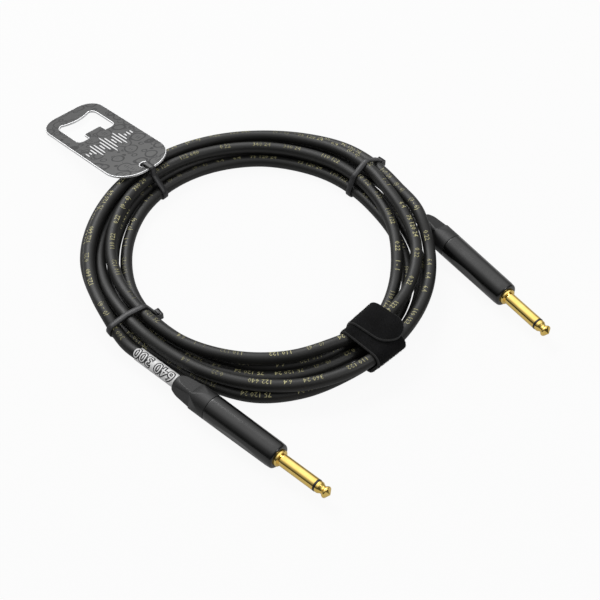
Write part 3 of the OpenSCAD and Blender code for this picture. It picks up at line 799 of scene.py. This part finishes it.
# ---- Inside the plugs ----
# Each plug is built up round the cable's core: a moulded carrier, an ivory liner round the
# tip's rod, tinned terminals, the copper core and twisted shield, and bright solder.
tinned_brass = drifting("tinned_brass", (.5, .49, .45), (.62, .61, .57), (.25, .14), Metallic=1)
ivory_plastic = drifting("ivory_plastic", (.62, .56, .43), (.7, .64, .5), (.35, .14))
bare_copper = drifting("bare_copper", (.55, .25, .13), (.7, .36, .2), (.22, .14), Metallic=1)
solder = drifting("solder_metal", (.55, .56, .57), (.7, .71, .72), (.14, .14), Metallic=1)
inner_materials = {
    "contact_carrier": drifting("carrier_plastic", (.011, .011, .012), (.019, .019, .02),
                                (.4, .14)),
    "tip_terminal": tinned_brass, "ground_lug": tinned_brass,
    "rod_liner": ivory_plastic, "core_insulation": ivory_plastic,
    "core_conductor": bare_copper, "shield_pigtail": bare_copper, "solder": solder,
    "chuck": drifting("chuck_nylon", (.03, .03, .032), (.045, .045, .048), (.42, .14)),
}
for name, material in inner_materials.items():
    for side in "ab":
        dress(frame["nodes"][f"{name}_{side}"].data, material, math.radians(30))

# ---- Cable ties ----
# Three small nylon ties pull the turns together. Each is a band with rounded edges whose
# head stands beside the turns, with the cut end sticking out of its slot. The first one
# also arches over the tag's rim.
TIE_T, TIE_W, TIE_PLAY = 1.0, 3.2, 0.1
HEAD_W, HEAD_T, HEAD_H = 5.0, 2.6, 4.0
TAG_HOLE_R, TAG_HOLE_Z, TAG_NEAR, TAG_TILT = 86.7011, 17, 5.5, math.radians(11.6466)


def crossings(angle):
    """Where the cable passes at an angle: its distance from the centre and its height."""
    out, along = polar(angle), polar(angle + 90)
    found = []
    for p, q in zip(cable_line, cable_line[1:]):
        before, after = p.dot(along), q.dot(along)
        if before * after <= 0 and before != after and p.dot(out) > 0:
            c = p.lerp(q, before / (before - after)) / MM
            found.append(Vector((c.dot(out), c.z)))
    return found


def line_round(discs, reach, pieces=96):
    """The tight line round discs of (middle, radius), some way outside them."""
    line = []
    for k in range(pieces):
        out = polar(360 * k / pieces).to_2d()
        middle, r = max(discs, key=lambda disc: disc[0].dot(out) + disc[1])
        line.append(middle + (r + reach) * out)
    return line


def cast(lines, middle, pieces=144):
    """The outermost line round several that share a middle."""
    joined = []
    for k in range(pieces):
        out = polar(360 * k / pieces).to_2d()
        aside = Vector((-out.y, out.x))
        far = 0
        for line in lines:
            for p, q in zip(line, line[1:] + line[:1]):
                a, b = (p - middle).dot(aside), (q - middle).dot(aside)
                if (a <= 0) != (b <= 0):
                    hit = p + (q - p) * (a / (a - b)) - middle
                    far = max(far, hit.dot(out))
        joined.append(middle + far * out)
    return joined


def standing(angle, r, z, across=0.0):
    """A point of an upright plane through the coil's axis, in metres."""
    return (polar(angle, r, z) + polar(angle + 90, across)) * MM


def make_band(name, angle, inner, outer, width, edge):
    """A closed band between two lines, with rounded edges."""
    half = width / 2
    section = [(-half, edge), (-half, 1 - edge), (edge - half, 1), (half - edge, 1),
               (half, 1 - edge), (half, edge), (half - edge, 0), (edge - half, 0)]
    points = []
    for p, q in zip(inner, outer):
        for across, share in section:
            r, z = p + (q - p) * share
            points.append(standing(angle, r, z, across))
    return new_piece(name, points, faces_between(len(inner), len(section), True))


def make_block(size, edge, place, recess=0.0):
    """A block with rounded edges, and a recess in its top."""
    bm = bmesh.new()
    bmesh.ops.create_cube(bm, size=1, matrix=Matrix.Diagonal((*size, 1)))
    bmesh.ops.bevel(bm, geom=bm.edges[:], offset=edge, segments=2, affect="EDGES",
                    profile=0.6)
    if recess:
        top = max(bm.faces, key=lambda face: face.calc_center_median().z)
        bmesh.ops.inset_region(bm, faces=[top], thickness=recess)
        for v in top.verts:
            v.co.z -= recess
    bm.transform(place)
    return bm


def join_pieces(piece, *parts):
    """Adds separate solids to a piece, with all faces outward."""
    whole = bmesh.new()
    whole.from_mesh(piece.data)
    for part in parts:
        extra = bpy.data.meshes.new("part")
        part.to_mesh(extra)
        part.free()
        whole.from_mesh(extra)
        bpy.data.meshes.remove(extra)
    bmesh.ops.recalc_face_normals(whole, faces=whole.faces)
    whole.to_mesh(piece.data)
    whole.free()


def upright_matrix(angle, r, z):
    """x runs outwards from the coil's axis, y along the cable, z up."""
    turn = Matrix.Rotation(math.radians(angle), 4, "Z")
    return Matrix.Scale(MM, 4) @ turn @ Matrix.Translation((r, 0, z))


def make_tie(name, angle, outside):
    turns = crossings(angle)
    discs = [(p, CABLE_R) for p in turns]
    lines = [line_round(discs, TIE_PLAY + share * TIE_T) for share in (0, 1)]
    if name == "tie_1":
        # An arch over the part of the tag between its hole and its near end
        edge = 0.5
        rim = TAG_HOLE_Z + TAG_NEAR * math.sin(TAG_TILT) + 0.9
        low, top = low_z(angle) + 2, rim - edge
        near, far = TAG_HOLE_R - TAG_NEAR - 0.7, TAG_HOLE_R - 1.7
        arch = [(Vector(p), edge) for p in ((near, low), (far, low), (near, top), (far, top))]
        middle = Vector(((near + far) / 2, low + 3))
        lines = [cast([line, line_round(arch, TIE_PLAY + share * TIE_T)], middle)
                 for share, line in enumerate(lines)]
    band = make_band(name + "_nylon", angle, *lines, TIE_W, 0.22)
    way = 1 if outside else -1
    side = max(turns, key=lambda p: way * p.x)
    face = side.x + way * (CABLE_R + TIE_PLAY)
    head_r = face + way * (TIE_T + HEAD_T) / 2
    stub_r = face + way * 1.5 * TIE_T
    z = side.y - CABLE_R + HEAD_H / 2
    head = make_block((TIE_T + HEAD_T, HEAD_W, HEAD_H), 0.5, upright_matrix(angle, head_r, z), 0.45)
    stub = make_block((TIE_T, TIE_W, 1.6), 0.15,
                      upright_matrix(angle, stub_r, z + HEAD_H / 2))
    join_pieces(band, head, stub)
    return band


tie_nylon = drifting("tie_nylon", (.02, .02, .021), (.035, .035, .037), (.34, .14),
                     cloud=(500, 3))
for name, angle in TIE_ANGLES.items():
    finish_piece(make_tie(name, angle, name != "tie_3"), tie_nylon, "root", "tie_nylon", name,
                 sharp=math.radians(50))

# ---- Strap ----
# A hook-and-loop strap of thick black loop fabric. It goes round all turns, and its free
# end lies over the top of the loop, up to a round end that can be peeled off.
STRAP_W, STRAP_T, STRAP_PLAY, SEAT_GAP = 19, 1.6, 0.3, 0.15
TAB_W, TAB_REACH, HINGE_R, HINGE_Z = 18, 95, 74.483, 18.8951
TAB_ANGLE = STRAP_ANGLE + TAB_SKEW


def strap_finish():
    """Black fabric that takes up most light, with a painted highlight along both cut edges."""
    fabric = Finish("strap_fabric", Specular_IOR_Level=0.1, Sheen_Weight=0.06,
                    Sheen_Roughness=0.45)
    place = fabric.coordinates()
    pile = fabric.noise(place, 1500, 3)
    patch = fabric.noise(place, 120, 3)
    across = fabric.node("ShaderNodeSeparateXYZ", {
        "Vector": fabric.node("ShaderNodeTexCoord", output="UV")}, "Y")
    # Painted highlight: a thin band along both edges is coloured a lighter grey
    rim = abs(across) > 0.955
    cloth = fabric.ramp(pile * 0.5 + patch * 0.5, (0.38, (.0012, .0012, .0012)),
                        (0.64, (.0075, .0075, .008)))
    fabric.set(Base_Color=fabric.mix(rim, cloth, (.05, .05, .05)),
               Roughness=pile * 0.1 + 0.82)
    fabric.bump(pile * 0.7 + patch * 0.3, 0.00022)
    return fabric.material


strap_fabric = strap_finish()


def make_strip(name, angle, lower, upper, widths, closed):
    """A soft strip between two lines; widths are its half widths along the line."""
    section = [(-1, .3), (-.99, .8), (-.965, .97), (-.9, 1), (-.6, 1), (-.3, 1), (0, 1),
               (.3, 1), (.6, 1), (.9, 1), (.965, .97), (.99, .8), (1, .3), (.99, .06),
               (.96, 0), (.5, 0), (0, 0), (-.5, 0), (-.96, 0), (-.99, .06)]
    sides, rows = len(section), len(lower)
    points = []
    for p, q, half in zip(lower, upper, widths):
        for across, share in section:
            r, z = p + (q - p) * share
            points.append(standing(angle, r, z, across * half))
    marks = tube_map([i / rows for i in range(rows + closed)],
                     [across for across, _ in section + section[:1]])
    faces = faces_between(rows, sides, closed)
    if not closed:
        faces += end_faces(rows, sides)
        marks += [[(0, 1)] * sides, [(1, 1)] * sides]
    piece = new_piece(name, points, faces, marks)
    face_outwards(piece)
    return piece


# The turns all along the strap's width, which leans over by the tab's skew
strap_discs = [(p, CABLE_R) for step in range(-2, 4) for p in crossings(STRAP_ANGLE + 3.5 * step)]


def make_strap():
    lower, upper = (line_round(strap_discs, STRAP_PLAY + share * STRAP_T, 144)
                    for share in (0, 1))
    return make_strip("strap_loop", STRAP_ANGLE, lower, upper, [STRAP_W / 2] * 144, True)


def make_tab():
    """From the inner side of the loop, where it is held, over the top to its round end."""
    half, lap = TAB_W / 2, STRAP_PLAY + STRAP_T + SEAT_GAP
    upper_side, end_steps = 12, 12
    # Of the closed lines, only the part from the inner side over the top
    lower, upper = (line_round(strap_discs, lap + share * STRAP_T, 360)[200:30:-1]
                    for share in (0, 1))
    pairs = [(p, q) for p, q in zip(lower, upper) if p.x < TAB_REACH - half - 1]
    low, high, widths = [], [], []
    for (p, q), (p2, q2) in zip(pairs, pairs[1:]):
        pieces = max(1, round((q2 - q).length / 1.5))
        for k in range(pieces):
            low.append(p + (p2 - p) * k / pieces)
            high.append(q + (q2 - q) * k / pieces)
            widths.append(half)
    for k in range(end_steps + 1):
        turn = math.pi / 2 * k / end_steps
        r = TAB_REACH - half + (half - 0.02) * math.sin(turn)
        for line, source in ((low, lower), (high, upper)):
            over = [p for p in source if p.y > upper_side]
            before = max((p for p in over if p.x <= r), key=lambda p: p.x)
            after = min((p for p in over if p.x > r), key=lambda p: p.x, default=before)
            share = (r - before.x) / max(1e-6, after.x - before.x)
            line.append(before + (after - before) * share)
        widths.append(max(0.5, half * math.cos(turn)))
    return make_strip("strap_free_end", TAB_ANGLE, low, high, widths, False)


def make_pile_tree():
    """Short bent fibres all over a piece of fabric."""
    tree = Tree("fabric_pile", Density="Float", Fibre="Object", Finish="Material", Seed="Int")
    spots = tree.node("GeometryNodeDistributePointsOnFaces", {
        "Mesh": tree["Geometry"], "Density": tree["Density"], "Seed": tree["Seed"]}, "Points")
    fibre = tree.node("GeometryNodeObjectInfo", {"Object": tree["Fibre"]}, "Geometry")
    lean = tree.node("FunctionNodeRandomValue", {0: (-0.9, -0.9, -3.1), 1: (0.9, 0.9, 3.1)},
                     data_type="FLOAT_VECTOR")
    size = tree.node("FunctionNodeRandomValue", {2: 0.5, 3: 1.3}, 1, data_type="FLOAT")
    leaning = tree.node("FunctionNodeRotateRotation", {0: spots.twin("Rotation"), 1: lean},
                        rotation_space="LOCAL")
    tree.finish(tree.node("GeometryNodeInstanceOnPoints", {
        "Points": spots, "Instance": fibre, "Rotation": leaning, "Scale": size}))
    return tree


fibre = new_piece("fibre", [(-.00004, 0, -.0001), (.00004, 0, -.0001), (.00003, 0, .00025),
                            (.00013, .00008, .00045), (-.00003, 0, .00025)],
                  [(0, 1, 2, 4), (4, 2, 3)])
put(fibre)
pile_tree = make_pile_tree()
fibre_finish = drifting("fibre_nylon", (.003, .003, .003), (.011, .011, .0115), (.7, .14))
strap_loop, strap_end = make_strap(), make_tab()
for seed, piece, name in ((3, strap_loop, "strap_pile"), (4, strap_end, "strap_end_pile")):
    pile = pile_tree.bake(bpy.data.objects.new(name, piece.data.copy()), Density=2.2e6,
                          Fibre=fibre, Finish=fibre_finish, Seed=seed)
    if piece is strap_loop:
        finish_piece(pile, None, "root", "strap_fabric")
bpy.data.objects.remove(fibre)
finish_piece(strap_loop, strap_fabric, "root", "strap_fabric", "strap_band")
put(strap_end).data.materials.append(strap_fabric)
strap_end.data.shade_smooth()
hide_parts("strap_tab")
for piece in (strap_end, bpy.data.objects["strap_end_pile"]):
    standing(TAB_ANGLE, HINGE_R - 3, HINGE_Z - 6)
    standing(TAB_ANGLE, HINGE_R + 4, HINGE_Z)
    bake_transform(piece)

# ---- Tag ----
# A steel plate stamped with a hole at one end and a bottle opener's window at the other.
# It is printed dark grey on top, up to a thin bare rim, with pale marks over the print.
TAG_HALF, TAG_FAR, TAG_HEADING = 19, 81.3, math.radians(130.6)
WINDOW_FROM, WINDOW_TO, WINDOW_HALF = 47.1, 71.5, 12.4


def arc(middle, r, start, end, pieces=12):
    return [Vector(middle) + polar(start + (end - start) * k / pieces, r).to_2d()
            for k in range(pieces + 1)]


def mirrored(half):
    """Closes a line with its mirror image across the tag's length."""
    return half + [Vector((p.x, -p.y)) for p in reversed(half) if abs(p.y) > 1e-6]


CORNER_R, SHOULDER_R, HOLE_R, LOBE_R, BULGE_R = 11, 16, 2.5, 4, 20
tag_outline = mirrored(arc((TAG_FAR - CORNER_R, TAG_HALF - CORNER_R), CORNER_R, 0, 90)
                       + arc((10.5, TAG_HALF - SHOULDER_R), SHOULDER_R, 90, 180))
hole_outline = arc((0, 0), HOLE_R, 0, 360, 48)[:-1]
bulge = Vector((WINDOW_TO + BULGE_R - 2.5, 0))
lobe = [p for p in arc((WINDOW_TO - LOBE_R, WINDOW_HALF - LOBE_R), LOBE_R, 0, 90, 24)
        if (p - bulge).length > BULGE_R]
window_outline = mirrored(
    [Vector((bulge.x - BULGE_R * math.cos(t), BULGE_R * math.sin(t)))
     for t in (math.asin(lobe[0].y / BULGE_R) * k / 10 for k in range(10))]
    + lobe + arc((WINDOW_FROM + 3.2, WINDOW_HALF - 3.2), 3.2, 90, 180)
    + [Vector((WINDOW_FROM, 5.7))] + arc((WINDOW_FROM + 4.5, 4.5), 1.2, 90, 0, 6))


def moved_line(line, distance):
    """A closed line moved outwards by a distance."""
    area = sum(p.cross(q) for p, q in zip(line, line[1:] + line[:1]))
    sign = 1 if area > 0 else -1
    out = []
    for i, p in enumerate(line):
        before, after = p - line[i - 1], line[(i + 1) % len(line)] - p
        normal = before.normalized() + after.normalized()
        normal = Vector((normal.y, -normal.x)).normalized()
        out.append(p + normal * distance * sign)
    return out


def stamped(name, outer, holes, rings):
    """A flat plate with holes; rings are the steps down its edge: inset and height."""
    points, faces, lids = [], [], []
    for line, sign in [(outer, -1)] + [(hole, 1) for hole in holes]:
        steps = []
        for inset, z in rings:
            steps.append(len(points))
            points += [Vector((*p, z)) for p in moved_line(line, sign * inset)]
        count = len(line)
        for a, b in zip(steps, steps[1:]):
            faces += [(a + k, a + (k + 1) % count, b + (k + 1) % count, b + k)
                      for k in range(count)]
        lids.append((steps[0], steps[-1], count))
    for which in range(2 if len(rings) > 1 else 1):
        starts = [(lid[which], lid[2]) for lid in lids]
        order = [start + k for start, count in starts for k in range(count)]
        flat = [[points[start + k] for k in range(count)] for start, count in starts]
        faces += [tuple(order[k] for k in face)
                  for face in geometry.tessellate_polygon(flat)]
    piece = new_piece(name, points, faces)
    face_outwards(piece, check=True)
    return piece


tag_place = Matrix.Scale(MM, 4) \
    @ Matrix.Translation(polar(TIE_ANGLES["tie_1"], TAG_HOLE_R, TAG_HOLE_Z)) \
    @ Matrix.Rotation(TAG_HEADING, 4, "Z") @ Matrix.Rotation(TAG_TILT, 4, "Y")


def steel_finish():
    """Stamped steel: brushed lengthwise, with a soft bright edge."""
    steel = Finish("tag_steel", Metallic=1)
    grain = steel.noise(steel.coordinates(turn=(0, 0, -TAG_HEADING), scale=(60, 1800, 300)), 1)
    steel.set(Base_Color=steel.ramp(grain, (0.3, (.78, .785, .79)), (0.7, (.9, .9, .91))),
              Roughness=grain * 0.15 + 0.55)
    steel.bump(grain, 0.00001)
    return steel.material


def tag_print_finish():
    """Dark grey ink with a pattern of darker winding lines and short dashes."""
    ink = Finish("tag_ink", Specular_IOR_Level=0.35)
    place = ink.coordinates(turn=(0, 0, -TAG_HEADING))
    waver = ink.noise(place, 110, 1.0)

    def figures(scale, move):
        """How far a spot is from the middle of the nearest figure."""
        return ink.node("ShaderNodeTexVoronoi", {
            "Vector": ink.coordinates(turn=(0, 0, -TAG_HEADING), move=move,
                                      scale=(1, 1.25, 0.2)),
            "Scale": scale, "Randomness": 0.7}) + (waver - 0.5) * 0.5

    large, small = figures(98, (0, 0, 0)), figures(190, (0.013, 0.004, 0))
    bars, short = (ink.node("ShaderNodeTexWave", {
        "Vector": place, "Scale": scale, "Distortion": 0.4}, 1, bands_direction=axis)
        for axis, scale in (("X", 190), ("Y", 62)))
    strokes = (bars > 0.72) * (short > 0.4) * (large < 0.24)
    beside = (abs(small - 0.3) < 0.07) * (large > 0.5)
    lines = (abs(large - 0.42) < 0.045).most(beside).most(strokes)
    cloud = ink.noise(place, 25, 3)
    along = ink.node("ShaderNodeSeparateXYZ", {"Vector": place}, "X")
    grey = ink.ramp((along - 0.09) * 13 + cloud * 0.25, (0.1, (.11, .11, .109)),
                    (0.85, (.075, .075, .075)))
    ink.set(Base_Color=ink.mix(lines * 0.9, grey, (.022, .022, .023)),
            Roughness=cloud * 0.15 + 0.36)
    ink.bump(lines, 0.00002, 0.4)
    return ink.material


TAG_TOP, TAG_EDGE = 0.6, 0.28
tag_plate = stamped("tag_plate", tag_outline, [hole_outline, window_outline],
                    [(TAG_EDGE, TAG_TOP), (0.09, 0.52), (0, TAG_TOP - TAG_EDGE), (0, -0.5),
                     (0.04, -0.57), (0.1, -TAG_TOP)])
tag_print = stamped("tag_print", moved_line(tag_outline, -0.38),
                    [moved_line(hole_outline, 0.45), moved_line(window_outline, 0.4)],
                    [(0, TAG_TOP + 0.015)])
for piece, material, nodes in ((tag_plate, steel_finish(), ["tag"]),
                               (tag_print, tag_print_finish(), [])):
    piece.data.transform(tag_place)
    finish_piece(piece, material, "tag", "tag_metal", *nodes, sharp=math.radians(35))


def make_bars_tree():
    """A row of upright bars whose heights follow a wave that dies down to both ends."""
    tree = Tree("sound_bars", Bar="Object", Count="Int", Pitch="Float", Height="Float",
                Grow="Float", Finish="Material")
    spaced = tree.node("ShaderNodeCombineXYZ", {1: tree["Pitch"]})
    row = tree.node("GeometryNodeMeshLine", {"Count": tree["Count"], "Offset": spaced})
    share = tree.node("GeometryNodeInputIndex") / tree["Count"]
    ripple = (share * 27.0).maths("SINE") * 0.33 + 0.62
    tall = (share * 3.05).maths("SINE") * ripple * tree["Height"] + tree["Grow"]
    size = tree.node("ShaderNodeCombineXYZ", {0: tall, 1: tree["Grow"] + 0.00042, 2: 1.0})
    bar = tree.node("GeometryNodeObjectInfo", {"Object": tree["Bar"]}, "Geometry")
    tree.finish(tree.node("GeometryNodeInstanceOnPoints", {
        "Points": row, "Instance": bar, "Scale": size}))
    return tree


bars_tree = make_bars_tree()
bar = new_piece("bar", [Vector((*p, 0)) for p in arc((0, 0), 1, 0, 360, 20)[:-1]],
                [tuple(range(20))])
for v in bar.data.vertices:
    v.co.x = math.copysign(abs(v.co.x) ** 0.35, v.co.x)
put(bar)
mark_white = drifting("mark_white", (.8, .8, .8), (.86, .86, .86), (.35, .14))
mark_dark = drifting("mark_dark", (.028, .028, .03), (.04, .04, .042), (.4, .14))
for name, grow, lift, ink in (("dark", 0.0007, 0.03, mark_dark),
                              ("white", 0.0, 0.045, mark_white)):
    empty = bpy.data.objects.new(f"tag_marks_{name}", bpy.data.meshes.new("marks"))
    marks = bars_tree.bake(empty, Bar=bar, Count=17, Pitch=0.002, Height=0.0105, Grow=grow,
                           Finish=ink)
    marks.data.transform(tag_place @ Matrix.Translation((33, -16, TAG_TOP + lift))
                         @ Matrix.Scale(1 / MM, 4))
    finish_piece(marks, None, "tag", "tag_metal")
bpy.data.objects.remove(bar)

# ---- The whole cable ----
# A point on plug A, 13.2 mm ahead of the boot's rear at the plug's height; it is worked out and not
# used.
at_plug("a", 13.2, 0, PLUG_H) * MM

# ---- Table and light ----
# A white table under a bright sky of soft light, with a large soft box high at the back
# left and a smaller one at the front right.
def table_finish():
    white = Finish("table_white", Base_Color=(.34, .34, .34), Roughness=0.8,
                   Specular_IOR_Level=0.1)
    glow = white.node("ShaderNodeEmission", {"Color": (1, 1, 1), "Strength": 1.08})
    camera_ray = white.node("ShaderNodeLightPath", output="Is Camera Ray")
    lit = camera_ray * 0.86 + camera_ray.twin("Is Glossy Ray") * 0.3
    white.fill(white.end, white.blend(lit, white.shader, glow))
    return white.material


table = new_piece("table", [(-3, -3, -.0002), (3, -3, -.0002), (3, 3, -.0002), (-3, 3, -.0002)],
                  [(0, 1, 2, 3)])
table.data.materials.append(table_finish())
put(table)

world = bpy.data.worlds.new("studio")
world.use_nodes = True
sky = Nodes(world.node_tree)


def background(strength, color=(1, 1, 1)):
    return sky.node("ShaderNodeBackground", {"Color": color, "Strength": strength})


# Reflections fade from the bright sky overhead and behind to a dim room in front
height = sky.node("ShaderNodeVectorMath", {
    0: sky.node("ShaderNodeTexCoord", output="Generated"), 1: (-0.12, 0.42, 0.9)}, "Value",
    operation="DOT_PRODUCT")
reflected = background(1.35, sky.ramp(height, (0.2, 0.05), (0.62, 0.36), (0.92, 1)))
camera_ray = sky.node("ShaderNodeLightPath", output="Is Camera Ray")
glossy_ray = camera_ray.twin("Is Glossy Ray")
both = sky.blend(camera_ray, sky.blend(glossy_ray, background(0.45), reflected), background(1.0))
sky.fill(sky.nodes.new("ShaderNodeOutputWorld").inputs[0], both)
bpy.context.scene.world = world

for name, place, size, power in (("soft_box_back", (-0.5, 0.75, 0.95), (0.9, 0.5), 9),
                                 ("soft_box_front", (0.9, -0.5, 0.9), (0.4, 0.4), 3)):
    light = bpy.data.lights.new(name, "AREA")
    light.shape, light.size, light.size_y, light.energy = "RECTANGLE", *size, power
    lamp = put(bpy.data.objects.new(name, light))
    lamp.location = place
    lamp.rotation_euler = (aim - Vector(place)).to_track_quat("-Z", "Y").to_euler()
bpy.context.scene.view_settings.view_transform = "Standard"

bpy.data.objects.remove(cable_route)
